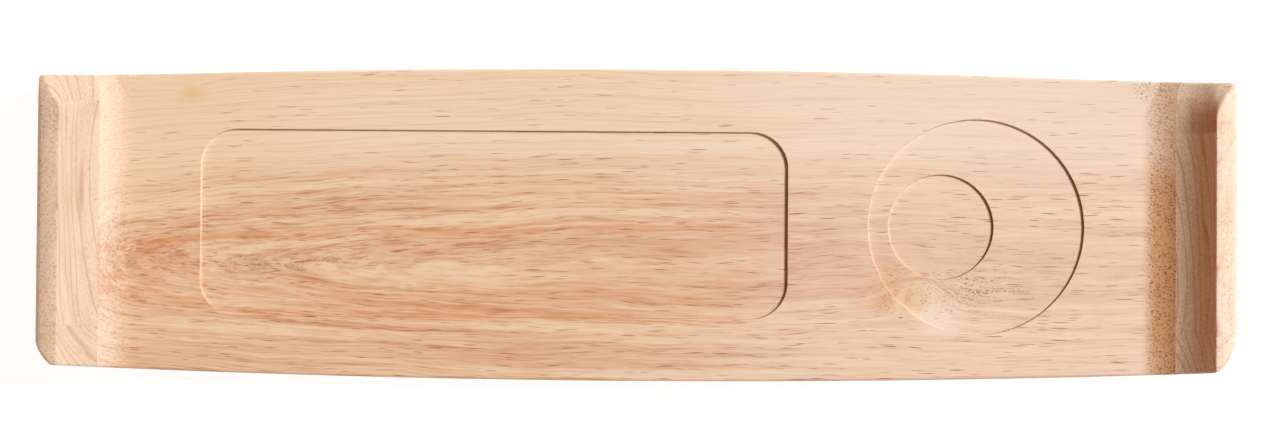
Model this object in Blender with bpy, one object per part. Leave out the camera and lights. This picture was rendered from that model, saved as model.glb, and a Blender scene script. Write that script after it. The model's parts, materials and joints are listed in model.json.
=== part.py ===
"""Wooden serving board with raised ends.

A thick plank carries three staves glued across the top of each end. The glued-up blank is then
machined as one: bowed sides, a level tray floor that sweeps up into a coved wall at each end,
a sloping shoulder behind each crest, and shallow recesses for a dish, a bowl and a cup.

Every length is in metres. +X runs along the board, +Y to its back edge, +Z up. The origin is
on the underside, at the middle of the board.
"""
import math

import bmesh
import bpy
from mathutils import Matrix

# Overall form
BOARD_LENGTH = 0.476
END_WIDTH = 0.1146
SIDE_BOW = 0.0050
BOARD_HEIGHT = 0.0325
FRONT_CORNER_RADIUS = 0.0065
BACK_CORNER_RADIUS = 0.0025
UNDER_EDGE_RADIUS = 0.0015

# Plank and tray floor
PLANK_THICKNESS = 0.0180
FLOOR_THICKNESS = 0.0148

# Raised ends: a cove inside, a crest, and a shoulder that falls to the outer face
COVE_RADIUS = 0.0310
CREST_INSET = 0.0090
SHOULDER_START_SLOPE = math.radians(6)
SHOULDER_END_SLOPE = math.radians(30)
EASED_CORNER_LENGTH = 0.0135
EASED_CORNER_SHIFT = 0.0050

# Widths of the front and back staves of each end, measured at the outer face. The middle stave
# takes up the rest of the width.
LEFT_EDGE_STAVES = (0.0153, 0.0093)
RIGHT_EDGE_STAVES = (0.0148, 0.0195)
GLUE_GAP = 0.0003

# Recesses in the tray floor
DISH_END_MARGIN = 0.0268
DISH_RECESS_WIDTH = 0.0745
DISH_CORNER_RADIUS = 0.0144
DISH_RECESS_DEPTH = 0.0015
RECESS_SPACING = 0.0323
BOWL_END_MARGIN = 0.0227
BOWL_RECESS_RADIUS = 0.0430
BOWL_RECESS_DEPTH = 0.0012
CUP_RECESS_RADIUS = 0.0209
CUP_RECESS_OFFSET = 0.0140
CUP_RECESS_DEPTH = 0.0012

# How far a cutter reaches past what it cuts, and how finely curves are divided
CUTTER_REACH = 0.0060
SIDE_STEPS = 28
COVE_STEPS = 16
SHOULDER_STEPS = 6
CORNER_STEPS = 6
EASED_STEPS = 5
CIRCLE_STEPS = 72
UNDER_EDGE_STEPS = 2

# Places worked out from the sizes above
HALF_LENGTH = BOARD_LENGTH / 2
CREST_X = HALF_LENGTH - CREST_INSET
WALL_RISE = BOARD_HEIGHT - FLOOR_THICKNESS
COVE_RUN = math.sqrt(2 * COVE_RADIUS * WALL_RISE - WALL_RISE ** 2)
COVE_FOOT_X = CREST_X - COVE_RUN
BOWL_X = COVE_FOOT_X - BOWL_END_MARGIN - BOWL_RECESS_RADIUS
CUP_X = BOWL_X - CUP_RECESS_OFFSET
DISH_LEFT_X = -COVE_FOOT_X + DISH_END_MARGIN
DISH_RIGHT_X = BOWL_X - BOWL_RECESS_RADIUS - RECESS_SPACING
STAVE_BOTTOM = PLANK_THICKNESS + GLUE_GAP
HALF_WIDTH_MAX = END_WIDTH / 2 + SIDE_BOW


def clear_scene():
    """Remove every object, so that the script can be run again."""
    for obj in list(bpy.data.objects):
        bpy.data.objects.remove(obj, do_unlink=True)


def make_collection(name):
    """Return a new collection linked to the scene."""
    collection = bpy.data.collections.new(name)
    bpy.context.scene.collection.children.link(collection)
    return collection


def make_wood(name, colour, roughness):
    """Return a plain wood material."""
    material = bpy.data.materials.new(name)
    material.use_nodes = True
    shader = material.node_tree.nodes["Principled BSDF"]
    shader.inputs["Base Color"].default_value = (*colour, 1.0)
    shader.inputs["Roughness"].default_value = roughness
    shader.inputs["Metallic"].default_value = 0.0
    return material


def arc_points(centre_x, centre_y, radius, start, end, steps):
    """Return points along an arc, both ends included."""
    points = []
    for step in range(steps + 1):
        angle = start + (end - start) * step / steps
        points.append((centre_x + radius * math.cos(angle), centre_y + radius * math.sin(angle)))
    return points


def half_width(x):
    """Return half the board's width at x: widest at the middle, with bowed sides."""
    return END_WIDTH / 2 + SIDE_BOW * (1 - (x / HALF_LENGTH) ** 2)


def bowed_side(start_x, end_x, side):
    """Return points along one long side, side being +1 at the back and -1 at the front."""
    points = []
    for step in range(1, SIDE_STEPS):
        x = start_x + (end_x - start_x) * step / SIDE_STEPS
        points.append((x, side * half_width(x)))
    return points


def board_corner(end, side, radius):
    """Return one rounded corner's points, in anticlockwise order seen from above."""
    centre_x = end * (HALF_LENGTH - radius)
    centre_y = side * (half_width(HALF_LENGTH - radius) - radius)
    quarter = math.pi / 2
    first = {(1, -1): -quarter, (1, 1): 0.0, (-1, 1): quarter, (-1, -1): math.pi}[(end, side)]
    return arc_points(centre_x, centre_y, radius, first, first + quarter, CORNER_STEPS)


def board_outline():
    """Return the board's outline seen from above, anticlockwise from its front right corner."""
    front_x = HALF_LENGTH - FRONT_CORNER_RADIUS
    back_x = HALF_LENGTH - BACK_CORNER_RADIUS
    outline = board_corner(1, -1, FRONT_CORNER_RADIUS)
    outline += board_corner(1, 1, BACK_CORNER_RADIUS)
    outline += bowed_side(back_x, -back_x, 1)
    outline += board_corner(-1, 1, BACK_CORNER_RADIUS)
    outline += board_corner(-1, -1, FRONT_CORNER_RADIUS)
    outline += bowed_side(-front_x, front_x, -1)
    return outline


def dish_outline():
    """Return the dish recess's rounded rectangle, anticlockwise."""
    radius = DISH_CORNER_RADIUS
    right = DISH_RIGHT_X - radius
    left = DISH_LEFT_X + radius
    high = DISH_RECESS_WIDTH / 2 - radius
    quarter = math.pi / 2
    outline = []
    for index, (x, y) in enumerate([(right, -high), (right, high), (left, high), (left, -high)]):
        start = (index - 1) * quarter
        outline += arc_points(x, y, radius, start, start + quarter, CORNER_STEPS * 2)
    return outline


def shoulder_profile():
    """Return the right end's profile: x and z from the crest, down the shoulder, to the joint."""
    spread = math.sin(SHOULDER_END_SLOPE) - math.sin(SHOULDER_START_SLOPE)
    radius = CREST_INSET / spread
    centre_x = CREST_X - radius * math.sin(SHOULDER_START_SLOPE)
    centre_z = BOARD_HEIGHT - radius * math.cos(SHOULDER_START_SLOPE)
    upright = math.pi / 2
    start = upright - SHOULDER_START_SLOPE
    end = upright - SHOULDER_END_SLOPE
    profile = arc_points(centre_x, centre_z, radius, start, end, SHOULDER_STEPS)
    inner_x = COVE_FOOT_X + COVE_RUN / 4
    profile.append((HALF_LENGTH, STAVE_BOTTOM))
    profile.append((inner_x, STAVE_BOTTOM))
    profile.append((inner_x, BOARD_HEIGHT))
    return profile


def hollow_profile():
    """Return the outline of what is cut from above the floor, seen from the front."""
    top = BOARD_HEIGHT + 2 * CUTTER_REACH
    reach = min(WALL_RISE + CUTTER_REACH, COVE_RADIUS)
    sweep = math.acos(1 - reach / COVE_RADIUS)
    centre_z = FLOOR_THICKNESS + COVE_RADIUS
    down = -math.pi / 2
    right = arc_points(COVE_FOOT_X, centre_z, COVE_RADIUS, down, down + sweep, COVE_STEPS)
    right.append((right[-1][0], top))
    left = [(-x, z) for x, z in reversed(right)]
    return right + left


def object_from_bmesh(name, shape, collection):
    """Turn a bmesh into a named object in a collection."""
    mesh = bpy.data.meshes.new(name)
    bmesh.ops.recalc_face_normals(shape, faces=shape.faces)
    shape.to_mesh(mesh)
    shape.free()
    obj = bpy.data.objects.new(name, mesh)
    collection.objects.link(obj)
    return obj


def prism(name, points, depth, placement, collection):
    """Extrude a flat outline by depth, and place its middle plane by a matrix."""
    curve = bpy.data.curves.new(name, "CURVE")
    curve.dimensions = "2D"
    curve.fill_mode = "BOTH"
    curve.extrude = depth / 2
    spline = curve.splines.new("POLY")
    spline.points.add(len(points) - 1)
    for point, (across, up) in zip(spline.points, points):
        point.co = (across, up, 0.0, 1.0)
    spline.use_cyclic_u = True
    guide = bpy.data.objects.new(name, curve)
    bpy.context.scene.collection.objects.link(guide)
    evaluated = guide.evaluated_get(bpy.context.evaluated_depsgraph_get())
    mesh = bpy.data.meshes.new_from_object(evaluated)
    bpy.data.objects.remove(guide, do_unlink=True)
    shape = bmesh.new()
    shape.from_mesh(mesh)
    bmesh.ops.remove_doubles(shape, verts=shape.verts, dist=1e-6)
    bmesh.ops.dissolve_limit(shape, angle_limit=0.001, verts=shape.verts, edges=shape.edges)
    bmesh.ops.transform(shape, matrix=placement, verts=shape.verts)
    return object_from_bmesh(name, shape, collection)


def cutter(obj):
    """Mark an object as a cutter, which is never seen."""
    obj.hide_render = True
    obj.display_type = "WIRE"
    return obj


def cut(obj, tool, operation):
    """Add a Boolean modifier."""
    modifier = obj.modifiers.new(tool.name, "BOOLEAN")
    modifier.operation = operation
    modifier.solver = "EXACT"
    modifier.object = tool


def round_under_edge(obj):
    """Round the edge all round the underside."""
    shape = bmesh.new()
    shape.from_mesh(obj.data)
    lowest = min(vert.co.z for vert in shape.verts)
    edges = []
    for edge in shape.edges:
        if all(vert.co.z < lowest + 1e-6 for vert in edge.verts):
            edges.append(edge)
    bmesh.ops.bevel(
        shape,
        geom=edges,
        offset=UNDER_EDGE_RADIUS,
        segments=UNDER_EDGE_STEPS,
        profile=0.5,
        affect="EDGES",
    )
    shape.to_mesh(obj.data)
    shape.free()


def eased_shift(y):
    """Return how far the coves have moved outwards at y, towards the back corners."""
    back_y = half_width(CREST_X)
    along = (y - back_y + EASED_CORNER_LENGTH) / EASED_CORNER_LENGTH
    return EASED_CORNER_SHIFT * max(0.0, along) ** 1.5


def hollow_cutter(collection):
    """Make the cutter that leaves the tray floor and the two coves."""
    front_y = -HALF_WIDTH_MAX - CUTTER_REACH
    back_y = half_width(CREST_X)
    eased_y = back_y - EASED_CORNER_LENGTH
    stations = [front_y]
    for step in range(EASED_STEPS + 1):
        stations.append(eased_y + EASED_CORNER_LENGTH * step / EASED_STEPS)
    stations.append(HALF_WIDTH_MAX + CUTTER_REACH)
    shape = bmesh.new()
    loops = []
    for y in stations:
        shift = eased_shift(min(y, back_y))
        loop = []
        for x, z in hollow_profile():
            loop.append(shape.verts.new((x + math.copysign(shift, x), y, z)))
        loops.append(loop)
    for near, far in zip(loops, loops[1:]):
        for index in range(len(near)):
            after = (index + 1) % len(near)
            shape.faces.new((near[index], near[after], far[after], far[index]))
    shape.faces.new(loops[0])
    shape.faces.new(list(reversed(loops[-1])))
    return cutter(object_from_bmesh("hollow_cutter", shape, collection))


def round_cutter(name, x, radius, bottom, collection):
    """Make an upright cylinder that stands on bottom and reaches past the floor."""
    top = FLOOR_THICKNESS + CUTTER_REACH
    shape = bmesh.new()
    bmesh.ops.create_cone(
        shape,
        cap_ends=True,
        segments=CIRCLE_STEPS,
        radius1=radius,
        radius2=radius,
        depth=top - bottom,
        matrix=Matrix.Translation((x, 0.0, (top + bottom) / 2)),
    )
    return cutter(object_from_bmesh(name, shape, collection))


def dish_cutter(collection):
    """Make the cutter for the dish recess."""
    bottom = FLOOR_THICKNESS - DISH_RECESS_DEPTH
    depth = DISH_RECESS_DEPTH + CUTTER_REACH
    placement = Matrix.Translation((0.0, 0.0, bottom + depth / 2))
    return cutter(prism("dish_cutter", dish_outline(), depth, placement, collection))


def outline_cutter(collection):
    """Make the prism that trims the staves to the board's outline."""
    depth = BOARD_HEIGHT + 2 * CUTTER_REACH
    placement = Matrix.Translation((0.0, 0.0, BOARD_HEIGHT / 2))
    return cutter(prism("outline_cutter", board_outline(), depth, placement, collection))


def make_plank(collection, material, tools):
    """Make the plank: its outline in full thickness, hollowed and recessed."""
    placement = Matrix.Translation((0.0, 0.0, PLANK_THICKNESS / 2))
    plank = prism("base_plank", board_outline(), PLANK_THICKNESS, placement, collection)
    round_under_edge(plank)
    plank.data.materials.append(material)
    for tool in (tools["hollow"], tools["dish"], tools["bowl"], tools["cup"]):
        cut(plank, tool, "DIFFERENCE")
    return plank


def make_stave(name, end, low_y, high_y, collection, material, tools):
    """Make one stave of a raised end, between low_y and high_y."""
    profile = [(end * x, z) for x, z in shoulder_profile()]
    if end < 0:
        profile.reverse()
    upright = Matrix.Rotation(math.pi / 2, 4, "X")
    placement = Matrix.Translation((0.0, (low_y + high_y) / 2, 0.0)) @ upright
    stave = prism(name, profile, high_y - low_y, placement, collection)
    stave.data.materials.append(material)
    cut(stave, tools["outline"], "INTERSECT")
    cut(stave, tools["hollow"], "DIFFERENCE")
    return stave


def make_end(label, end, edge_staves, collection, material, tools):
    """Make the three staves of one end, from the widths of its front and back staves."""
    outside = HALF_WIDTH_MAX + CUTTER_REACH
    front_joint = -END_WIDTH / 2 + edge_staves[0]
    back_joint = END_WIDTH / 2 - edge_staves[1]
    half_gap = GLUE_GAP / 2
    spans = {
        "front": (-outside, front_joint - half_gap),
        "middle": (front_joint + half_gap, back_joint - half_gap),
        "back": (back_joint + half_gap, outside),
    }
    staves = []
    for place, (low_y, high_y) in spans.items():
        name = f"{label}_end_{place}_stave"
        staves.append(make_stave(name, end, low_y, high_y, collection, material, tools))
    return staves


def main():
    """Build the board."""
    clear_scene()
    parts = make_collection("serving_board")
    cutters = make_collection("cutters")
    plank_wood = make_wood("plank_wood", (0.79, 0.57, 0.38), 0.55)
    end_wood = make_wood("end_wood", (0.84, 0.64, 0.46), 0.55)
    bowl_bottom = FLOOR_THICKNESS - BOWL_RECESS_DEPTH
    cup_bottom = bowl_bottom - CUP_RECESS_DEPTH
    tools = {
        "outline": outline_cutter(cutters),
        "hollow": hollow_cutter(cutters),
        "dish": dish_cutter(cutters),
        "bowl": round_cutter("bowl_cutter", BOWL_X, BOWL_RECESS_RADIUS, bowl_bottom, cutters),
        "cup": round_cutter("cup_cutter", CUP_X, CUP_RECESS_RADIUS, cup_bottom, cutters),
    }
    pieces = [make_plank(parts, plank_wood, tools)]
    pieces += make_end("left", -1, LEFT_EDGE_STAVES, parts, end_wood, tools)
    pieces += make_end("right", 1, RIGHT_EDGE_STAVES, parts, end_wood, tools)
    board = bpy.data.objects.new("serving_board_origin", None)
    parts.objects.link(board)
    for piece in pieces:
        piece.parent = board


main()
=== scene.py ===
# %% [markdown]
# # A wooden serving board, shaped and finished
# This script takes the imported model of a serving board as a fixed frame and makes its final
# looks. The board is one thick plank with three short staves glued across the top of each end.
# The maker glues up square stock first and machines it afterwards, so this script does the same:
# it shapes one whole board and then saws it apart along its glue lines.

# %% Load the frame
import json
import math

import bpy
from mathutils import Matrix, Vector


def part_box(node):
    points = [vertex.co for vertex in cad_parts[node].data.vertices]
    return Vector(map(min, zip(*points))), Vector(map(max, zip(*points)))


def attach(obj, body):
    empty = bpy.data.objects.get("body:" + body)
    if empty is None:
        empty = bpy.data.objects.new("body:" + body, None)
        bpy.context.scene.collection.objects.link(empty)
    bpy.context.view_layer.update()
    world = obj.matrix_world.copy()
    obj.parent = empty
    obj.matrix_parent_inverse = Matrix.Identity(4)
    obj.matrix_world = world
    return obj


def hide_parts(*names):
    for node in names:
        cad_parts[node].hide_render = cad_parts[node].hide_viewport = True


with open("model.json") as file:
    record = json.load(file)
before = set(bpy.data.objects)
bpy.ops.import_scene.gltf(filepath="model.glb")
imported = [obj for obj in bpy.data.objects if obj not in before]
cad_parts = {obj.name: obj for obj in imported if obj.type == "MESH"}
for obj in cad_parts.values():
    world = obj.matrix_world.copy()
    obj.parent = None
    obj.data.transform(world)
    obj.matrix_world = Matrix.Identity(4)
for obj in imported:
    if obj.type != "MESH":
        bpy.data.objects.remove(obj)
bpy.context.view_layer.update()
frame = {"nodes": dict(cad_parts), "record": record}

print("nodes:", sorted(frame["nodes"]))

# %% [markdown]
# ## The board's sizes
# Places come from the frame: a node's box gives the overall size and the glue line's height, and
# a mount's point gives the height of each recess floor. All lengths are in metres.

# %% Sizes
MOUNTS = {mount["name"]: mount for mount in frame["record"]["mounts"]}
HALF_LENGTH, HALF_WIDTH_MAX, GLUE_Z = Vector(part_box("base_plank")[1])
TOP_Z = max(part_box(name)[1][2] for name in frame["nodes"])
FLOOR_Z = MOUNTS["tray_floor"]["pos_m"][2]
DISH_Z = MOUNTS["dish_recess_floor"]["pos_m"][2]
BOWL_Z = MOUNTS["bowl_recess_floor"]["pos_m"][2]
CUP_Z = MOUNTS["cup_recess_floor"]["pos_m"][2]
print("floor at", FLOOR_Z, "glue line at", round(GLUE_Z, 4), "crest at", round(TOP_Z, 4))

# %% [markdown]
# ## Cove and crest
# Seen from the front, the top is a level floor, a cove like a quarter of a pipe, a crest, and a
# shoulder that falls to the outer face. The cove starts tangent to the floor, so its radius and
# the height of the wall are enough to say how far inwards its foot lies.

# %% Cove and crest
COVE_RADIUS = 0.0310
CREST_INSET = 0.0090
CREST_X = HALF_LENGTH - CREST_INSET
WALL_RISE = TOP_Z - FLOOR_Z
COVE_RUN = math.sqrt(2 * COVE_RADIUS * WALL_RISE - WALL_RISE ** 2)
FOOT_X = CREST_X - COVE_RUN
print("cove foot at", round(FOOT_X, 4), "crest at", round(CREST_X, 4))

# %% [markdown]
# ## Eased back corners
# The long sides bow out a little towards the middle. Near the back corners the maker sands the
# wall to an ever gentler slope and its top dips. A sculpt would do this by eye. A falling
# exponential does it by formula and leaves no edge where the easing starts.

# %% Eased back corners
SIDE_BOW = 0.0050
STEEPEST = math.radians(76)
EASED_STEEPEST = math.radians(57)
EASED_LENGTH = 0.0128
EASED_SPREAD = 0.6
EASED_FADE = 0.0160
EASED_DIP = 0.0025


def half_width(x):
    """Return half the board's width at x, before its corners are rounded."""
    return HALF_WIDTH_MAX - SIDE_BOW * (x / HALF_LENGTH) ** 2


def past_easing(y):
    """Return how far y lies past the line where the back corner starts to be eased."""
    return y - half_width(CREST_X) + EASED_LENGTH


def steepest_slope(out, y):
    """Return the steepest slope the cove may have, which falls towards the back corners."""
    beyond = past_easing(y) + EASED_SPREAD * (CREST_X - min(out, CREST_X))
    return min(STEEPEST, EASED_STEEPEST * math.exp(-beyond / EASED_FADE))


def dip(y):
    """Return how far the crest and the shoulder have dipped near the back corners."""
    return EASED_DIP * (max(0.0, past_easing(y)) / EASED_LENGTH) ** 2


print("half width at the crest:", round(half_width(CREST_X), 4))

# %% [markdown]
# ## The heights of the top, as a formula
# The crest is where the cove and the shoulder cross, so the height is the lower of the two. A
# soft minimum rounds the place where they cross, just as sandpaper does.

# %% Heights of the top
CREST_SOFTNESS = 0.0010
SHOULDER_START_SLOPE = math.radians(6)
SHOULDER_END_SLOPE = math.radians(30)


def cove_height(out, y):
    """Return the cove's height at a distance out from the board's middle."""
    reach = max(0.0, out - FOOT_X)
    slope = steepest_slope(out, y)
    steep = COVE_RADIUS * math.sin(slope)
    rise = COVE_RADIUS - math.sqrt(COVE_RADIUS ** 2 - min(reach, steep) ** 2)
    return FLOOR_Z + rise + max(0.0, reach - steep) * math.tan(slope)


def shoulder_height(out, y):
    """Return the shoulder's height: a flat arch that grows steeper towards the outer face."""
    radius = CREST_INSET / (math.sin(SHOULDER_END_SLOPE) - math.sin(SHOULDER_START_SLOPE))
    across = max(0.0, out - CREST_X + radius * math.sin(SHOULDER_START_SLOPE))
    arch = math.sqrt(radius ** 2 - across ** 2) - radius * math.cos(SHOULDER_START_SLOPE)
    return TOP_Z + arch - dip(y)


def soft_minimum(first, second, softness):
    """Return the lower of two heights, with the corner between them rounded."""
    blend_share = max(softness - abs(first - second), 0.0) / softness
    return min(first, second) - blend_share ** 2 * softness / 4


def top_height(x, y):
    """Return the height of the top before its outer edges are rounded."""
    out = abs(x)
    if out < FOOT_X:
        return FLOOR_Z
    return soft_minimum(cove_height(out, y), shoulder_height(out, y), CREST_SOFTNESS)


print("height of the rounded crest:", round(top_height(CREST_X, 0.0), 5))

# %% [markdown]
# ## The bent crest
# Where the cove is gentler it meets the shoulder further out, so the crest bends outwards near
# the back corners. The sheet's lines have to follow it, or the crest would look like a saw. The
# place has no simple formula, but halving the range again and again soon finds it.

# %% The bent crest
HALVINGS = 16


def crest_shift(y):
    """Return how far outwards the crest has moved at y, found by halving the range."""
    near = 0.0
    far = CREST_INSET
    for _ in range(HALVINGS):
        middle = (near + far) / 2
        out = CREST_X + middle
        if cove_height(out, y) < shoulder_height(out, y):
            near = middle
        else:
            far = middle
    return near


print("crest moves out by", round(crest_shift(half_width(CREST_X)), 4), "at the back edge")

# %% [markdown]
# ## Where the sheet's lines run
# The body starts as a flat sheet with many cells. Its lines are placed close together where the
# wood curves and far apart where it is flat. Along the board they crowd at the crest and in the
# last millimetres before the outer face. Across it they are closer at the back, where the
# corners are eased. The corners are listed first, because the lines crowd over the longest one.
# Each has a length along the board, a depth across it and a power. A power of 2 makes an ellipse,
# and one nearer 1 makes a flatter cut, more like a chamfer.

# %% Stations along and across the board
CORNERS = {
    (-1, -1): (0.0067, 0.0090, 1.3),
    (1, -1): (0.0103, 0.0200, 2.0),
    (-1, 1): (0.0022, 0.0022, 2.0),
    (1, 1): (0.0040, 0.0060, 2.0),
}
LONGEST_CORNER = max(length for length, depth, power in CORNERS.values())
SIDE_EDGE_RADIUS = 0.0011
CREST_SPACING = 0.00030
CREST_LINES_OUT = 4
CREST_LINES_IN = 5
OUTER_LINES = 20
OUTER_GAP = 0.0002
COVE_GAP = 0.0006
COVE_LINES = 24
FLOOR_LINES = 20
HALF_TOP_LINES = 14
EASED_MARGIN = 0.006


def quarter_steps(radius, steps):
    """Return distances from an edge that divide its rounding evenly, from the outside in."""
    return [radius * (1 - math.cos(math.pi / 2 * step / steps)) for step in range(steps + 1)]


def length_stations():
    """Return the places of the sheet's cross lines along X, from left to right."""
    crest_steps = range(CREST_LINES_OUT, -CREST_LINES_IN - 1, -1)
    crest = [CREST_X + step * CREST_SPACING for step in crest_steps]
    outer = [HALF_LENGTH - step for step in quarter_steps(LONGEST_CORNER, OUTER_LINES)]
    outer = [x for x in outer if x > crest[0] + OUTER_GAP]
    cove_run = crest[-1] - COVE_GAP - FOOT_X
    cove = [FOOT_X + cove_run * (1 - step / COVE_LINES) for step in range(COVE_LINES + 1)]
    floor_line = [FOOT_X * (1 - step / FLOOR_LINES) for step in range(1, FLOOR_LINES + 1)]
    right = outer + crest + cove + floor_line
    return [-x for x in right] + list(reversed(right[:-1]))


def top_lines():
    """Return the places of the lines across the top, as shares from front edge to back edge."""
    width = 2 * HALF_WIDTH_MAX
    margin = SIDE_EDGE_RADIUS / width
    eased = 1 - (EASED_LENGTH + EASED_MARGIN) / width
    shares = [step / HALF_TOP_LINES for step in range(HALF_TOP_LINES + 1)]
    front = [margin + (eased - margin) * share for share in shares]
    back = [eased + (1 - margin - eased) * share for share in shares[1:]]
    return front + back


STATIONS = length_stations()
TOP_LINES = top_lines()
print(len(STATIONS), "stations along,", len(TOP_LINES), "lines across the top")

# %% [markdown]
# ## Rounded edges and corners
# A bevel could round the edges later, but it would fight with the bent crest. So each
# cross-section is drawn with its rounds already in it: the upper and lower edges of both sides,
# and the corners, which pull a side inwards as the cross-sections near the outer face.

# %% Shape of one cross-section
OUTER_EDGE_RADIUS = 0.0020
UNDER_EDGE_RADIUS = 0.0015
UNDER_STEPS = 4
SIDE_STEPS = 5
WALL_SHARES = (0.33, 0.66)
UNDERSIDE_SHARES = (0.75, 0.5, 0.25)
SLOPE_STEP = 0.00005
STRETCH_LIMIT = 5.0


def inset(distance, radius):
    """Return how far a rounded edge has fallen away at a distance from it."""
    if distance >= radius:
        return 0.0
    return radius - math.sqrt(max(0.0, radius ** 2 - (radius - distance) ** 2))


def corner_inset(distance, corner):
    """Return how far a corner is cut back at a distance from the outer face."""
    length, depth, power = CORNERS[corner]
    if distance >= length:
        return 0.0
    share = (1 - ((length - distance) / length) ** power) ** (1 / power)
    return depth * (1 - share)


def crest_share(x):
    """Return how much of the crest's bend a cross line at x takes: all of it at the crest."""
    out = abs(x)
    if out < FOOT_X:
        return max(0.0, 1 - (FOOT_X - out) / COVE_RUN)
    if out > CREST_X:
        return min(1.0, (HALF_LENGTH - out) / CREST_INSET)
    return 1.0


def section_points(x):
    """Return a closed cross-section at x, from the front lower edge over the top and back."""
    end = HALF_LENGTH - abs(x)
    lift = inset(end, UNDER_EDGE_RADIUS)
    drop = inset(end, OUTER_EDGE_RADIUS)
    bend = crest_share(x)

    def placed(y, z=None):
        """Return a point at y, moved outwards with the bent crest."""
        moved = x + math.copysign(crest_shift(y) * bend, x)
        height = top_height(moved, y) - drop if z is None else z
        return moved, y, height

    def edge(side):
        """Return a side's y, and how much its rounding is stretched where a corner turns."""
        corner = (math.copysign(1, x), side)
        cut = corner_inset(end, corner)
        slope = (cut - corner_inset(end + SLOPE_STEP, corner)) / SLOPE_STEP
        return side * (half_width(x) - cut), min(STRETCH_LIMIT, math.hypot(1, slope))

    def side_points(side):
        """Return a side's points from the underside, up the wall and over its top edge."""
        edge_y, stretch = edge(side)
        points = []
        for step in reversed(quarter_steps(UNDER_EDGE_RADIUS, UNDER_STEPS)):
            points.append(placed(edge_y - side * step, lift + inset(step, UNDER_EDGE_RADIUS)))
        wall_rise = placed(edge_y)[2] - SIDE_EDGE_RADIUS - UNDER_EDGE_RADIUS
        for share in WALL_SHARES:
            points.append(placed(edge_y, UNDER_EDGE_RADIUS + wall_rise * share))
        for step in quarter_steps(SIDE_EDGE_RADIUS, SIDE_STEPS)[:-1]:
            point_x, point_y, point_z = placed(edge_y - side * step * stretch)
            points.append((point_x, point_y, point_z - inset(step, SIDE_EDGE_RADIUS)))
        return points

    front_y, front_stretch = edge(-1)
    back_y, back_stretch = edge(1)
    low_y = front_y + SIDE_EDGE_RADIUS * front_stretch
    high_y = back_y - SIDE_EDGE_RADIUS * back_stretch
    span = TOP_LINES[-1] - TOP_LINES[0]
    shares = [(line - TOP_LINES[0]) / span for line in TOP_LINES]
    top = [placed(low_y + (high_y - low_y) * share) for share in shares]
    under = [placed(front_y + (back_y - front_y) * share, lift) for share in UNDERSIDE_SHARES]
    return side_points(-1) + top + list(reversed(side_points(1))) + under


AROUND = len(section_points(0.0))
print(AROUND, "points in a cross-section")

# %% [markdown]
# ## The blank: a sheet rolled into a tube
# A cube could be cut and bevelled into this shape, but the crest bends near the back corners and
# every edge has its own radius. A sheet gives each point its own place by formula, and all its
# cells stay four-sided. It is rolled round the board like paper, its seam is merged, and the two
# outer faces close it. An operator acts on everything that is selected, and loading the frame
# leaves its nodes selected, so each helper starts by deselecting everything.

# %% Roll the sheet
SEAM = 1e-6


def select_only(obj):
    """Make one object the only selected one, and the active one."""
    bpy.ops.object.select_all(action="DESELECT")
    obj.select_set(True)
    bpy.context.view_layer.objects.active = obj


def edit(obj, mode="FACE"):
    """Open an object in edit mode with nothing selected."""
    select_only(obj)
    bpy.ops.object.mode_set(mode="EDIT")
    bpy.ops.mesh.select_mode(type=mode)
    bpy.ops.mesh.select_all(action="DESELECT")


def close_open_edges():
    """Fill every open outline of the mesh in edit mode, and turn all its faces outwards."""
    bpy.ops.mesh.select_all(action="DESELECT")
    bpy.ops.mesh.select_non_manifold()
    bpy.ops.mesh.edge_face_add()
    bpy.ops.mesh.select_all(action="SELECT")
    bpy.ops.mesh.normals_make_consistent(inside=False)
    bpy.ops.object.mode_set(mode="OBJECT")


def roll_blank():
    """Make the whole board, before its recesses are cut."""
    bpy.ops.object.select_all(action="DESELECT")
    bpy.ops.mesh.primitive_grid_add(
        x_subdivisions=len(STATIONS) - 1,
        y_subdivisions=AROUND,
        size=2,
        location=(0, 0, 0),
    )
    blank = bpy.context.object
    blank.name = "blank"
    sections = [section_points(x) for x in STATIONS]
    for vert in blank.data.vertices:
        along = round((vert.co.x + 1) / 2 * (len(STATIONS) - 1))
        around = round((vert.co.y + 1) / 2 * AROUND) % AROUND
        vert.co = sections[along][around]
    edit(blank, "VERT")
    bpy.ops.mesh.select_all(action="SELECT")
    bpy.ops.mesh.remove_doubles(threshold=SEAM)
    close_open_edges()
    return blank


board = roll_blank()
print("blank:", len(board.data.polygons), "faces")

# %% [markdown]
# ## Recesses: cutters sunk by insetting
# A router cuts each recess to an even depth. Its cutter here starts as a flat outline a little
# above the wood. Insetting the face and lowering it in small steps gives a true offset at every
# depth, so the same steps make the softened rim, the upright wall and the small round at the
# bottom, on circles and on the long dish alike.

# %% Recess cutters
RIM_RADIUS = 0.00035
FLOOR_FILLET = 0.00030
RIM_START = math.radians(15)
RIM_STEPS = 4
FILLET_STEPS = 4
CUTTER_LIFT = 0.00020
CIRCLE_SIDES = 160
DISH_CORNER_STEPS = 20


def recess_steps(depth):
    """Return a cutter's (inward, downward) steps from top to floor, and how far its top flares."""
    flare = RIM_RADIUS * (1 - math.sin(RIM_START)) + CUTTER_LIFT / math.tan(RIM_START)
    places = [(flare, CUTTER_LIFT)]
    for step in range(RIM_STEPS + 1):
        turn = RIM_START + (math.pi / 2 - RIM_START) * step / RIM_STEPS
        places.append((RIM_RADIUS * (1 - math.sin(turn)), RIM_RADIUS * (math.cos(turn) - 1)))
    for step in range(FILLET_STEPS + 1):
        turn = math.pi / 2 * step / FILLET_STEPS
        inward = FLOOR_FILLET * (math.cos(turn) - 1)
        places.append((inward, FLOOR_FILLET * (1 - math.sin(turn)) - depth))
    steps = [(upper[0] - lower[0], upper[1] - lower[1]) for upper, lower in zip(places, places[1:])]
    return steps, flare


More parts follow.
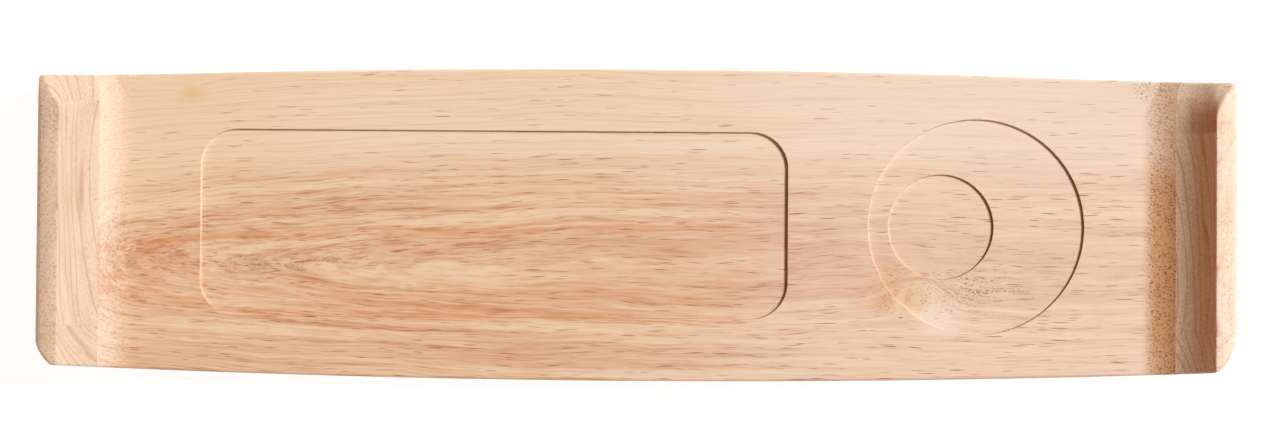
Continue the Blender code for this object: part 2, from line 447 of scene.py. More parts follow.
def settle(obj):
    """Move an object's place, turn and scale into its mesh."""
    select_only(obj)
    bpy.ops.object.transform_apply(location=True, rotation=True, scale=True)


def sink(tool, steps):
    """Turn an outline's single face into a closed cutter by insetting and lowering it."""
    edit(tool)
    bpy.ops.mesh.select_all(action="SELECT")
    for inward, downward in steps:
        bpy.ops.mesh.inset(thickness=inward, depth=-downward, use_even_offset=True)
    bpy.ops.mesh.select_mode(type="EDGE")
    close_open_edges()


def round_cutter(x, radius, surface_z, floor_z):
    """Return a cutter for a round recess on the board's centre line."""
    steps, flare = recess_steps(surface_z - floor_z)
    bpy.ops.object.select_all(action="DESELECT")
    bpy.ops.mesh.primitive_circle_add(
        vertices=CIRCLE_SIDES,
        radius=radius + flare,
        fill_type="NGON",
        location=(x, 0, surface_z + CUTTER_LIFT),
    )
    tool = bpy.context.object
    settle(tool)
    sink(tool, steps)
    return tool


def dish_cutter(low_x, high_x, width, corner_radius):
    """Return a cutter for the long dish with rounded corners."""
    steps, flare = recess_steps(FLOOR_Z - DISH_Z)
    bpy.ops.object.select_all(action="DESELECT")
    bpy.ops.mesh.primitive_plane_add(
        size=1,
        location=((low_x + high_x) / 2, 0, FLOOR_Z + CUTTER_LIFT),
    )
    tool = bpy.context.object
    tool.scale = (high_x - low_x + 2 * flare, width + 2 * flare, 1)
    settle(tool)
    edit(tool, "VERT")
    bpy.ops.mesh.select_all(action="SELECT")
    bpy.ops.mesh.bevel(
        affect="VERTICES",
        offset_type="OFFSET",
        offset=corner_radius + flare,
        segments=DISH_CORNER_STEPS,
    )
    bpy.ops.object.mode_set(mode="OBJECT")
    sink(tool, steps)
    return tool


print("a cutter's top flares by", round(recess_steps(FLOOR_Z - DISH_Z)[1], 5))

# %% [markdown]
# ## Rout the recesses
# The long dish is cut first, then the bowl, and last the cup in the bowl's floor. A boolean with
# the exact solver leaves clean rims. The cutter is thrown away after its cut.

# %% Cut the recesses
DISH_LOW_X, DISH_HIGH_X = -0.1742, 0.0600
DISH_WIDTH = 0.0745
DISH_CORNER_RADIUS = 0.0144
BOWL_X, BOWL_RADIUS = 0.1353, 0.0430
CUP_X, CUP_RADIUS = 0.1213, 0.0209


def carve(obj, tool):
    """Cut a tool out of an object, and throw the tool away."""
    select_only(obj)
    modifier = obj.modifiers.new("carve", "BOOLEAN")
    modifier.operation = "DIFFERENCE"
    modifier.solver = "EXACT"
    modifier.object = tool
    bpy.ops.object.modifier_apply(modifier="carve")
    bpy.data.objects.remove(tool, do_unlink=True)


carve(board, dish_cutter(DISH_LOW_X, DISH_HIGH_X, DISH_WIDTH, DISH_CORNER_RADIUS))
carve(board, round_cutter(BOWL_X, BOWL_RADIUS, FLOOR_Z, BOWL_Z))
carve(board, round_cutter(CUP_X, CUP_RADIUS, BOWL_Z, CUP_Z))
print("carved board:", len(board.data.polygons), "faces")

# %% [markdown]
# ## Saw the board along its glue lines
# Each piece is a copy of the whole board, sawn back to its own share. Bisecting in edit mode with
# its fill turned on closes every cut, and the cut's edges are marked sharp. Each cut stands back
# by a hair from the glue line, so two neighbours never overlap and the joint shows as a faint
# line.

# %% Saw the pieces
GLUE_HAIR = 0.00003
SAW_THRESHOLD = 1e-7
END_NAMES = {-1: "left_end", 1: "right_end"}


def saw(obj, place, direction):
    """Cut away all that lies beyond a plane, on the side that its direction points to."""
    edit(obj)
    bpy.ops.mesh.select_all(action="SELECT")
    bpy.ops.mesh.bisect(
        plane_co=place,
        plane_no=direction,
        use_fill=True,
        clear_outer=True,
        threshold=SAW_THRESHOLD,
    )
    bpy.ops.mesh.mark_sharp()
    bpy.ops.object.mode_set(mode="OBJECT")


def copy_of(obj, name):
    """Return a new object with its own copy of a mesh."""
    select_only(obj)
    bpy.ops.object.duplicate()
    twin = bpy.context.object
    twin.name = name
    twin.data.name = name
    return twin


def joint_place(first, second):
    """Return the y of the glue joint between two neighbouring staves."""
    return (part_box(first)[1][1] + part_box(second)[0][1]) / 2


plank = copy_of(board, "plank_wood")
saw(plank, (0, 0, GLUE_Z), (0, 0, 1))
pieces = {"base_plank": plank}

for side, end_name in END_NAMES.items():
    names = [f"{end_name}_{part}_stave" for part in ("front", "middle", "back")]
    joints = [joint_place(first, second) for first, second in zip(names, names[1:])]
    for index, name in enumerate(names):
        stave = copy_of(board, f"{name}_wood")
        saw(stave, (0, 0, GLUE_Z + GLUE_HAIR), (0, 0, -1))
        saw(stave, (0, 0, 0), (-side, 0, 0))
        if index > 0:
            saw(stave, (0, joints[index - 1] + GLUE_HAIR / 2, 0), (0, -1, 0))
        if index < len(joints):
            saw(stave, (0, joints[index] - GLUE_HAIR / 2, 0), (0, 1, 0))
        pieces[name] = stave

bpy.data.objects.remove(board, do_unlink=True)
for name, piece in pieces.items():
    print(name, "has", len(piece.data.polygons), "faces")

# %% [markdown]
# ## Smooth shading
# The rounded edges should shade smoothly while saw cuts stay sharp. Weighted normals keep the
# broad flat faces flat, because large faces pull harder on the shared normals than small ones.

# %% Shade the pieces
SMOOTH_LIMIT = math.radians(30)

for name, piece in pieces.items():
    select_only(piece)
    bpy.ops.object.shade_smooth_by_angle(angle=SMOOTH_LIMIT)
    weighted = piece.modifiers.new("weighted normals", "WEIGHTED_NORMAL")
    weighted.keep_sharp = True
    bpy.ops.object.modifier_apply(modifier="weighted normals")
print("shaded", len(pieces), "pieces")

# %% [markdown]
# ## Node helpers
# A material is a small graph of nodes. These helpers add one node each and return its result, so
# a formula in the script reads much like the formula on paper. A fade's four settings are the
# values where it starts and ends, and what it gives before its start and past its end.


# %% Helpers for node trees
def plug(tree, value, socket):
    """Link a node's result into a socket, or set the socket to a plain value."""
    if isinstance(value, bpy.types.NodeSocket):
        tree.links.new(value, socket)
    else:
        socket.default_value = value


def calc(tree, operation, *values):
    """Return the result of one sum."""
    node = tree.nodes.new("ShaderNodeMath")
    node.operation = operation
    for value, socket in zip(values, node.inputs):
        plug(tree, value, socket)
    return node.outputs["Value"]


def product(tree, first, *others):
    """Return the product of two or more values."""
    for other in others:
        first = calc(tree, "MULTIPLY", first, other)
    return first


def clamp(tree, value):
    """Return a value kept between 0 and 1."""
    return calc(tree, "MINIMUM", calc(tree, "MAXIMUM", value, 0.0), 1.0)


def fade(tree, value, start, end, low=0.0, high=1.0):
    """Return a smooth change from low to high while a value goes from start to end."""
    node = tree.nodes.new("ShaderNodeMapRange")
    node.interpolation_type = "SMOOTHSTEP"
    settings = {"Value": value, "From Min": start, "From Max": end, "To Min": low, "To Max": high}
    for name, setting in settings.items():
        plug(tree, setting, node.inputs[name])
    return node.outputs["Result"]


def blend(tree, factor, first, second, way="MIX"):
    """Return a mix of two colours, or their product."""
    node = tree.nodes.new("ShaderNodeMix")
    node.data_type = "RGBA"
    node.blend_type = way
    colour_sockets = [socket for socket in node.inputs if socket.type == "RGBA"]
    plug(tree, factor, node.inputs[0])
    plug(tree, first, colour_sockets[0])
    plug(tree, second, colour_sockets[1])
    return [socket for socket in node.outputs if socket.type == "RGBA"][0]


def cell_vector(tree, parts, sizes, shift):
    """Return a place measured in cells of the given sizes, shifted by a seed."""
    vector = tree.nodes.new("ShaderNodeCombineXYZ")
    for part, size, socket in zip(parts, sizes, vector.inputs):
        plug(tree, calc(tree, "MULTIPLY_ADD", part, 1 / size, shift), socket)
    return vector.outputs["Vector"]


def lumps(tree, parts, sizes, shift, detail=2.0):
    """Return a noise from 0 to 1 with lumps of the given sizes."""
    node = tree.nodes.new("ShaderNodeTexNoise")
    node.inputs["Scale"].default_value = 1.0
    node.inputs["Detail"].default_value = detail
    tree.links.new(cell_vector(tree, parts, sizes, shift), node.inputs["Vector"])
    return node.outputs[0]


# %% [markdown]
# ## The wood's own coordinates
# Wood is a bundle of long fibres round the heart of a tree. So its pattern is drawn in three
# directions: along the fibres, outwards from the heart, and around it. Solid coordinates like
# these make the pattern run on correctly from the level floor into the coves and the end grain.
# On the plank the heart runs at a slight slope, and the rings surface as long pointed arches.
# From here on, lengths in the pattern are in millimetres.

# %% Grain space
MM_PER_METRE = 1000.0
SLOW_WAVE_SIZES, SLOW_WAVE_HEIGHT = (70, 30, 60), 7.0
QUICK_WAVE_SIZES, QUICK_WAVE_HEIGHT = (16, 7, 20), 1.1
LEAN_START_X = 50.0
LEAN_LENGTH = 350.0
LEAN_EASE = 0.5


def object_millimetres(tree):
    """Return the x, y and z of a point of the object, in millimetres."""
    place = tree.nodes.new("ShaderNodeTexCoord")
    larger = tree.nodes.new("ShaderNodeVectorMath")
    larger.operation = "SCALE"
    larger.inputs["Scale"].default_value = MM_PER_METRE
    split = tree.nodes.new("ShaderNodeSeparateXYZ")
    tree.links.new(place.outputs["Object"], larger.inputs[0])
    tree.links.new(larger.outputs["Vector"], split.inputs["Vector"])
    return split.outputs["X"], split.outputs["Y"], split.outputs["Z"]


def surface_direction(tree):
    """Return the x and y of the direction that the surface faces."""
    split = tree.nodes.new("ShaderNodeSeparateXYZ")
    place = tree.nodes.new("ShaderNodeTexCoord")
    tree.links.new(place.outputs["Normal"], split.inputs["Vector"])
    return split.outputs["X"], split.outputs["Y"]


def heart_lean(tree, x):
    """Return how far the heart has leant away at x. It leans gently at first, then faster."""
    ramp = calc(tree, "MULTIPLY", calc(tree, "SUBTRACT", LEAN_START_X, x), 1 / LEAN_LENGTH)
    ramp = clamp(tree, ramp)
    fourth = calc(tree, "POWER", ramp, 4.0)
    lean = calc(tree, "SUBTRACT", calc(tree, "POWER", ramp, 3.0), product(tree, fourth, LEAN_EASE))
    return product(tree, lean, LEAN_LENGTH)


def grain_space(tree, given, x, y, z):
    """Return the distance out from the heart, the distance around it, and sideways from it."""
    slow_wave = lumps(tree, (x, y, z), SLOW_WAVE_SIZES, given["Seed"])
    quick_wave = lumps(tree, (x, y, z), QUICK_WAVE_SIZES, given["Seed"])
    waved = calc(tree, "MULTIPLY_ADD", slow_wave, SLOW_WAVE_HEIGHT, y)
    waved = calc(tree, "MULTIPLY_ADD", quick_wave, QUICK_WAVE_HEIGHT, waved)
    waved = calc(tree, "SUBTRACT", waved, (SLOW_WAVE_HEIGHT + QUICK_WAVE_HEIGHT) / 2)
    sideways = calc(tree, "SUBTRACT", waved, given["Heart Y"])
    upwards = calc(tree, "SUBTRACT", z, given["Heart Z"])
    height_squared = calc(tree, "MULTIPLY", upwards, upwards)
    radius = calc(tree, "SQRT", calc(tree, "MULTIPLY_ADD", sideways, sideways, height_squared))
    radius = calc(tree, "MULTIPLY_ADD", heart_lean(tree, x), given["Lean"], radius)
    angle = calc(tree, "ARCTAN2", sideways, upwards)
    return radius, product(tree, angle, given["Ring Radius"]), sideways


print("the heart leans between x =", LEAN_START_X, "and", LEAN_START_X - LEAN_LENGTH, "mm")

# %% [markdown]
# ## Knots push the grain aside
# Two knots show on the real plank: a large one in the bowl recess and a small one at the back
# left. A knot is a branch, and the fibres flow round it. Adding a soft round mask to the
# distance from the heart bends every pattern that reads it.

# %% Knots in the grain
BIG_KNOT, BIG_KNOT_SIZE, BIG_KNOT_PUSH = (112.0, -27.0), (11, 7), 9.0
SMALL_KNOT, SMALL_KNOT_SIZE, SMALL_KNOT_PUSH = (-178.0, 51.0), (5, 3), 4.0


def round_mask(tree, place, centre, size):
    """Return a soft round mask, 1 at its centre and near 0 beyond its size."""
    across = calc(tree, "DIVIDE", calc(tree, "SUBTRACT", place[0], centre[0]), size[0])
    upwards = calc(tree, "DIVIDE", calc(tree, "SUBTRACT", place[1], centre[1]), size[1])
    height_squared = calc(tree, "MULTIPLY", upwards, upwards)
    squared = calc(tree, "MULTIPLY_ADD", across, across, height_squared)
    return calc(tree, "EXPONENT", product(tree, squared, -1.0))


print("knots at", BIG_KNOT, "and", SMALL_KNOT, "mm")

# %% [markdown]
# ## What every effect reads
# The plank and the staves come from the same kind of tree, so they share one node group. Its
# inputs say where the heart of the tree lies from each piece, how strongly each effect shows and
# which colours the piece has. "Plank Marks" is 1 on the plank and 0 on the staves, because only
# the plank has knots, dark years and speckles. All the effects read the same few values, so they
# are gathered once: places, directions, four layers of grain from broad to fine, and the pale
# sapwood, which lies far from the heart.

# %% The group's inputs and shared values
NUMBER_INPUTS = (
    "Heart Y", "Heart Z", "Ring Radius", "Lean", "Seed", "Ring Lines", "Streaks", "Pores",
    "Sapwood", "Highlight And Paling", "Inner Dots", "Outer Dots", "Plank Marks", "Shade Side", "Shade From",
    "Shade To", "Shade Tint",
)
COLOUR_INPUTS = ("Pale", "Tan", "Streak", "Sap", "Painted Shade")
GRAIN_LAYERS = {
    "broad": ((260, 7.5, 45), 2.0),
    "bands": ((130, 2.2, 16), 2.0),
    "fibres": ((24, 0.55, 2.0), 3.0),
    "fine": ((9, 0.26, 0.8), 2.0),
}
SAPWOOD_RADIUS = (35, 56)
LESS_SAP_IN_FRONT = (-12, 12, 0.35, 1.0)
SAPWOOD_CALM = -0.65
SLOPE_START = FLOOR_Z * MM_PER_METRE
SLOPE_FADE = 0.32


def shared_values(tree, given):
    """Return the values that the wood's effects read, by name."""
    x, y, z = object_millimetres(tree)
    radius, around, sideways = grain_space(tree, given, x, y, z)
    marks = given["Plank Marks"]
    big_knot = product(tree, round_mask(tree, (x, y), BIG_KNOT, BIG_KNOT_SIZE), marks)
    small_knot = product(tree, round_mask(tree, (x, y), SMALL_KNOT, SMALL_KNOT_SIZE), marks)
    radius = calc(tree, "MULTIPLY_ADD", big_knot, BIG_KNOT_PUSH, radius)
    radius = calc(tree, "MULTIPLY_ADD", small_knot, SMALL_KNOT_PUSH, radius)
    grain = (x, radius, around)
    direction_x, direction_y = surface_direction(tree)
    at_back = fade(tree, sideways, *LESS_SAP_IN_FRONT)
    sapwood = product(tree, fade(tree, radius, *SAPWOOD_RADIUS), at_back, given["Sapwood"])
    calm = calc(tree, "MULTIPLY_ADD", sapwood, SAPWOOD_CALM, 1.0)
    at = {
        "x": x,
        "y": y,
        "z": z,
        "place": (x, y, z),
        "grain": grain,
        "sideways": sideways,
        "small knot": small_knot,
        "facing": product(tree, direction_x, given["Shade Side"]),
        "facing back": direction_y,
        "on slope": fade(tree, z, SLOPE_START, SLOPE_START + SLOPE_FADE),
        "sapwood": sapwood,
        "calm": calm,
        "lively": product(tree, calm, given["Streaks"]),
    }
    for name, (sizes, detail) in GRAIN_LAYERS.items():
        at[name] = lumps(tree, grain, sizes, given["Seed"], detail)
    return at


print(len(NUMBER_INPUTS) + len(COLOUR_INPUTS), "inputs,", len(GRAIN_LAYERS), "layers of grain")

# %% [markdown]
# ## The ground colour
# Bare rubberwood drifts between a pale cream and a tan. Summing the four layers with their own
# weights gives broad clouds and fine lines at once, and the sum picks a place between the two
# colours. The sapwood is mixed in as a third, paler wood.

# %% Ground colour
LAYER_WEIGHTS = {"broad": 1.7, "bands": 2.2, "fibres": 1.7, "fine": 1.0}
NOISE_MIDDLE = 0.5
LESS_SAP_AT_LEFT = (-190, -90, 0.7, 0.0)


def ground_colour(tree, given, at):
    """Return the wood's colour before its streaks, marks and pores."""
    tone = 0.0
    for name, weight in LAYER_WEIGHTS.items():
        above = calc(tree, "SUBTRACT", at[name], NOISE_MIDDLE)
        tone = calc(tree, "MULTIPLY_ADD", above, weight, tone)
    tone = clamp(tree, calc(tree, "MULTIPLY_ADD", tone, at["lively"], NOISE_MIDDLE))
    heartwood = blend(tree, tone, given["Pale"], given["Tan"])
    sapwood = blend(tree, tone, given["Sap"], given["Pale"])
    sapwood = blend(tree, fade(tree, at["x"], *LESS_SAP_AT_LEFT), sapwood, given["Pale"])
    return blend(tree, at["sapwood"], heartwood, sapwood)


print("layer weights:", LAYER_WEIGHTS)

# %% [markdown]
# ## Ring lines, streaks and painted highlight
# Each year ends in a thin dark line. The fraction of the distance from the heart, counted in
# years, rises slowly and drops at once, and a fade over its last part draws that line. Streaks
# are where the fibres are darkest, joined by thin threads of their own. Where a face turns to
# the lamp, a painted highlight makes it paler, and the low parts of the plank's right half are
# paler too.

# %% Ring lines, streaks and painted highlight
YEAR_WIDTH = 2.6
UNEVEN_SIZES, UNEVENNESS = (5.0, 300, 60), 3.2
LINE_RISE = (0.70, 0.97)
LINE_FALL = (0.97, 1.0, 1.0, 0.0)
LINES_FADE_IN_LIGHT = (0.05, 0.25, 1.0, 0.25)
DARK_FIBRES = (0.55, 0.74)
THREAD_SIZES, THREAD_FADE = (15, 0.24, 0.9), (0.54, 0.70)
STREAKY_BANDS = (0.38, 0.60, 0.25, 1.0)
STREAK_STRENGTH = 0.72
# Faces turned to the lamp get a painted highlight, and the low wood on the plank's right half is
# paler.
PALER_RIGHT = (-60, 140)
PALER_LOW = (14.9, 17.0, 1.0, 0.0)
PAINTED_HIGHLIGHT_FACING = (0.03, 0.35, 0.0, 0.7)
HIGHLIGHT_AND_PALE_COLOUR = (0.94, 0.87, 0.78, 1)


def ring_lines(tree, given, at):
    """Return a mask of the thin dark line that ends each year's ring."""
    along, radius, around = at["grain"]
    uneven = lumps(tree, (radius, along, around), UNEVEN_SIZES, given["Seed"], detail=1.0)
    years = calc(tree, "MULTIPLY_ADD", uneven, UNEVENNESS, product(tree, radius, 1 / YEAR_WIDTH))
    share = calc(tree, "FRACT", years)
    line = product(tree, fade(tree, share, *LINE_RISE), fade(tree, share, *LINE_FALL))
    return product(tree, line, fade(tree, at["facing"], *LINES_FADE_IN_LIGHT), given["Ring Lines"])


def streaks(tree, given, at):
    """Return a mask of the dark streaks along the fibres."""
    threads = lumps(tree, at["grain"], THREAD_SIZES, given["Seed"], detail=1.0)
    threads = fade(tree, threads, *THREAD_FADE)
    mask = calc(tree, "MAXIMUM", fade(tree, at["fibres"], *DARK_FIBRES), threads)
    in_bands = fade(tree, at["bands"], *STREAKY_BANDS)
    return product(tree, mask, in_bands, at["lively"], STREAK_STRENGTH)


def painted_highlight_and_paling(tree, given, at):
    """Return a mask of painted highlight on faces turned to the lamp, and of paler low wood on the
    right.
    """
    low = product(tree, fade(tree, at["x"], *PALER_RIGHT), fade(tree, at["z"], *PALER_LOW))
    # A painted highlight where the face turns to the lamp.
    painted_highlight = fade(tree, at["facing"], *PAINTED_HIGHLIGHT_FACING)
    return product(tree, calc(tree, "MAXIMUM", low, painted_highlight), given["Highlight And Paling"])


def streaky_colour(tree, given, at, colour):
    """Return a colour with the ring lines, the streaks, the paler places and the painted highlight
    added.
    """
    colour = blend(tree, ring_lines(tree, given, at), colour, given["Streak"])
    colour = blend(tree, streaks(tree, given, at), colour, given["Streak"])
    return blend(tree, painted_highlight_and_paling(tree, given, at), colour, HIGHLIGHT_AND_PALE_COLOUR)


print("one year is about", YEAR_WIDTH, "mm wide")

# %% [markdown]
# ## Dark years and coloured knots
# Two dark years surface as long curves that drift towards the front or the back at the left end,
# with a broad faint one between them. A falling exponential in x gives each its curve. Round the
# big knot the wood is brown on one side and pale on the other, and its heart is yellowish.

# %% Dark years and knots
YEARS_START_X = -202.0
YEARS_END = (20, 60, 1.0, 0.0)
YEAR_FIBRES = (0.35, 0.6, 0.15, 0.6)
YEAR_COLOUR = (0.68, 0.33, 0.15, 1)
DARK_YEARS = (
    {"level": -37.5, "rise": 14.0, "reach": 25.0, "width": 1.3, "strength": 1.0},
    {"level": -1.0, "rise": -10.5, "reach": 48.0, "width": 2.0, "strength": 0.9},
    {"level": -29.0, "rise": 3.0, "reach": 60.0, "width": 9.0, "strength": 0.65},
)
KNOT_HEART_SIZE, KNOT_HEART_STRENGTH = (2.2, 5.5), 0.85
KNOT_HEART_COLOUR = (0.80, 0.64, 0.38, 1)
KNOT_EDGE_SIZE, KNOT_EDGE_STRENGTH = (10, 11), 0.75
KNOT_EDGE = (BIG_KNOT[0] - 9, BIG_KNOT[1])
KNOT_EDGE_BANDS = (0.3, 0.6, 0.45, 0.9)
KNOT_EDGE_COLOUR = (0.70, 0.38, 0.17, 1)
KNOT_SIDE_SIZE, KNOT_SIDE_STRENGTH = (9, 6), 0.75
KNOT_SIDE = (BIG_KNOT[0] + 9, BIG_KNOT[1] - 9)
KNOT_SIDE_COLOUR = (0.92, 0.83, 0.70, 1)
SMALL_KNOT_STRENGTH = 0.6
SMALL_KNOT_COLOUR = (0.74, 0.50, 0.20, 1)


def dark_year(tree, given, at, year):
    """Return a mask of a dark year that rises or sinks towards the left end."""
    y = calc(tree, "ADD", at["sideways"], given["Heart Y"])
    past_start = calc(tree, "MAXIMUM", calc(tree, "SUBTRACT", at["x"], YEARS_START_X), 0.0)
    lift = calc(tree, "EXPONENT", product(tree, past_start, -1 / year["reach"]))
    offset = calc(tree, "SUBTRACT", calc(tree, "SUBTRACT", y, year["level"]),
                  product(tree, lift, year["rise"]))
    offset = calc(tree, "DIVIDE", offset, year["width"])
    mask = calc(tree, "EXPONENT", product(tree, offset, offset, -1.0))
    in_fibres = fade(tree, at["fibres"], *YEAR_FIBRES)
    strength = product(tree, given["Plank Marks"], year["strength"])
    return product(tree, mask, fade(tree, at["x"], *YEARS_END), in_fibres, strength)


def marked_colour(tree, given, at, colour):
    """Return a colour with the dark years and the knots added."""
    for year in DARK_YEARS:
        colour = blend(tree, dark_year(tree, given, at, year), colour, YEAR_COLOUR)
    place = at["place"]
    edge = round_mask(tree, place, KNOT_EDGE, KNOT_EDGE_SIZE)
    edge = product(tree, edge, fade(tree, at["bands"], *KNOT_EDGE_BANDS))
    beside = round_mask(tree, place, KNOT_SIDE, KNOT_SIDE_SIZE)
    heart = round_mask(tree, place, BIG_KNOT, KNOT_HEART_SIZE)
    for mask, strength, knot_colour in (
        (edge, KNOT_EDGE_STRENGTH, KNOT_EDGE_COLOUR),
        (beside, KNOT_SIDE_STRENGTH, KNOT_SIDE_COLOUR),
        (heart, KNOT_HEART_STRENGTH, KNOT_HEART_COLOUR),
        (at["small knot"], SMALL_KNOT_STRENGTH, SMALL_KNOT_COLOUR),
    ):
        share = product(tree, mask, given["Plank Marks"], strength)
        colour = blend(tree, share, colour, knot_colour)
    return colour


print(len(DARK_YEARS), "dark years, the first at y =", DARK_YEARS[0]["level"], "mm")

# %% [markdown]
# ## Vessels, long on the flat and round on a slope
# Rubberwood's sap runs in vessels, long thin tubes that are open where a cut crosses them. Along
# the grain they show as dashes of a few millimetres, and on the coves and the end grain as
# dots. One cell pattern serves both: its cells are long in grain space for the dashes, and short
# in plain space for the dots. Each cell draws its own size, depth and chance.

# %% Vessels
DASH_SPACING, DASH_SIZE = (13.0, 0.52, 0.52), 0.19
DOT_SPACING, DOT_SIZE = (1.1, 0.72, 0.72), 0.37
VESSEL_EDGE = (1.0, 0.5)
DEPTH_POWER = 1.6
DEPTH_LEAST, DEPTH_RANGE = 0.3, 0.7
FEWER_IN_SAPWOOD = -0.75
DASHES_IN_BANDS = (0.3, 0.65, 0.5, 1.2)
DOTS_LESS_AT_LEFT = (-150, 150, 0.4, 1.0)
FAINTER_IN_SAPWOOD = -0.35
INNER_TO_OUTER = (-0.1, 0.1)
SPECKLES = (((136.0, -24.0), (20.0, 8.0)), ((-150.0, -16.0), (45.0, 3.0)))
SPECKLED_FIBRES = (0.42, 0.58)


def vessels(tree, given, place, spacing, thickness, amount):
    """Return a mask of open vessels, one at most in each cell of the given spacing."""
    cells = tree.nodes.new("ShaderNodeTexVoronoi")
    cells.inputs["Scale"].default_value = 1.0
    vector = cell_vector(tree, place, spacing, given["Seed"])
    tree.links.new(vector, cells.inputs["Vector"])
    draws = tree.nodes.new("ShaderNodeSeparateColor")
    tree.links.new(cells.outputs["Color"], draws.inputs["Color"])
    size = calc(tree, "MULTIPLY_ADD", draws.outputs["Red"], thickness, thickness)
    inside = fade(tree, calc(tree, "DIVIDE", cells.outputs["Distance"], size), *VESSEL_EDGE)
    kept = calc(tree, "LESS_THAN", draws.outputs["Green"], amount)
    depth = calc(tree, "POWER", draws.outputs["Blue"], DEPTH_POWER)
    depth = calc(tree, "MULTIPLY_ADD", depth, DEPTH_RANGE, DEPTH_LEAST)
    return product(tree, inside, kept, depth)


def dashes(tree, given, at):
    """Return a mask of the vessels cut lengthwise."""
    thinning = calc(tree, "MULTIPLY_ADD", at["sapwood"], FEWER_IN_SAPWOOD, 1.0)
    crowding = fade(tree, at["bands"], *DASHES_IN_BANDS)
    amount = product(tree, thinning, crowding, given["Pores"])
    amount = product(tree, amount, calc(tree, "SUBTRACT", 1.0, at["on slope"]))
    return vessels(tree, given, at["grain"], DASH_SPACING, DASH_SIZE, amount)


def dots(tree, given, at):
    """Return a mask of the vessels cut across, on the slopes and in two speckled places."""
    dotted = product(tree, at["on slope"], fade(tree, at["x"], *DOTS_LESS_AT_LEFT))
    fainter = calc(tree, "MULTIPLY_ADD", at["sapwood"], FAINTER_IN_SAPWOOD, 1.0)
    dotted = product(tree, dotted, fainter)
    in_fibres = fade(tree, at["fibres"], *SPECKLED_FIBRES)
    for centre, size in SPECKLES:
        speckled = round_mask(tree, at["place"], centre, size)
        speckled = product(tree, speckled, in_fibres, given["Plank Marks"])
        dotted = calc(tree, "MAXIMUM", dotted, speckled)
    strength = fade(tree, at["facing"], *INNER_TO_OUTER, given["Inner Dots"], given["Outer Dots"])
    mask = vessels(tree, given, at["place"], DOT_SPACING, DOT_SIZE, 1.0)
    return product(tree, mask, dotted, strength)


print("dashes up to", round(DASH_SPACING[0] * DASH_SIZE * 4, 1), "mm long")

# %% [markdown]
# ## Painted shade on faces turned from the lamp
# A darker, redder colour is painted on as shade where a face turns away from the lamp: on the
# coves of the right end and on the right walls of the recesses. Each piece says which of its sides
# takes the painted shade and how steep a face must be for it, and the painted shade multiplies
# the colour. The plank's slope only has a warm painted shade tint. The recess walls that face the
# back take a share of the painted shade, and the plank's plain left end takes none.

# %% Painted shade tint and painted shade
# A warm tint painted as shade on faces that turn away from the lamp.
SHADE_TINT_FACING = (-0.01, -0.22)
SHADE_TINT_COLOUR = (0.66, 0.36, 0.165, 1)
FRONT_WALL_SHADE = (0.2, 0.9, 0.0, 0.35)
RECESS_REACH = (46, 50, 1.0, 0.0)
PLANK_LEFT_END = (-212, -200, 1.0, 0.0)


def painted_shade_colour(tree, given, at, colour):
    """Return a colour with the painted shade added: a warm tint and a darker colour on faces turned
    from the lamp.
    """
    # A warm painted shade on faces turning away from the lamp.
    shade_tint = product(tree, fade(tree, at["facing"], *SHADE_TINT_FACING), given["Shade Tint"], at["calm"])
    colour = blend(tree, shade_tint, colour, SHADE_TINT_COLOUR)
    # Painted shade: a darker colour where a face turns away from the lamp.
    painted_shade = fade(tree, at["facing"], given["Shade From"], given["Shade To"])
    # Painted shade on the recess walls that face the back.
    front_wall_shade = fade(tree, at["facing back"], *FRONT_WALL_SHADE)
    in_recess = fade(tree, calc(tree, "ABSOLUTE", at["y"]), *RECESS_REACH)
    front_wall_shade = product(tree, front_wall_shade, in_recess, given["Plank Marks"])
    left_end = product(tree, fade(tree, at["x"], *PLANK_LEFT_END), given["Plank Marks"])
    painted_shade = calc(tree, "MAXIMUM", painted_shade, front_wall_shade)
    painted_shade = product(tree, painted_shade, calc(tree, "SUBTRACT", 1.0, left_end))
    darker = blend(tree, 1.0, colour, given["Painted Shade"], "MULTIPLY")
    return blend(tree, painted_shade, colour, darker)


# The recess walls named here take painted shade.
print("recess walls are stained within", RECESS_REACH[0], "mm of the centre line")

# %% [markdown]
# ## One group for all the wood
# The effects are laid over each other in the order in which the tree and the maker made them:
# ground colour, lines and streaks, marks, stain, and last the open vessels, which are dark holes
# whatever colour surrounds them. The group gives the colour, a roughness that rises in the
# vessels, and a height that sinks there.

# %% Build the wood group
PORE_COLOUR, PORE_STRENGTH = (0.34, 0.085, 0.030, 1), 0.9
DOT_COLOUR, DOT_STRENGTH = (0.24, 0.085, 0.030, 1), 0.95
DOT_DEPTH = 0.5
ROUGHNESS, PORE_ROUGHNESS = 0.55, 0.2
FIBRE_HEIGHT = 0.15


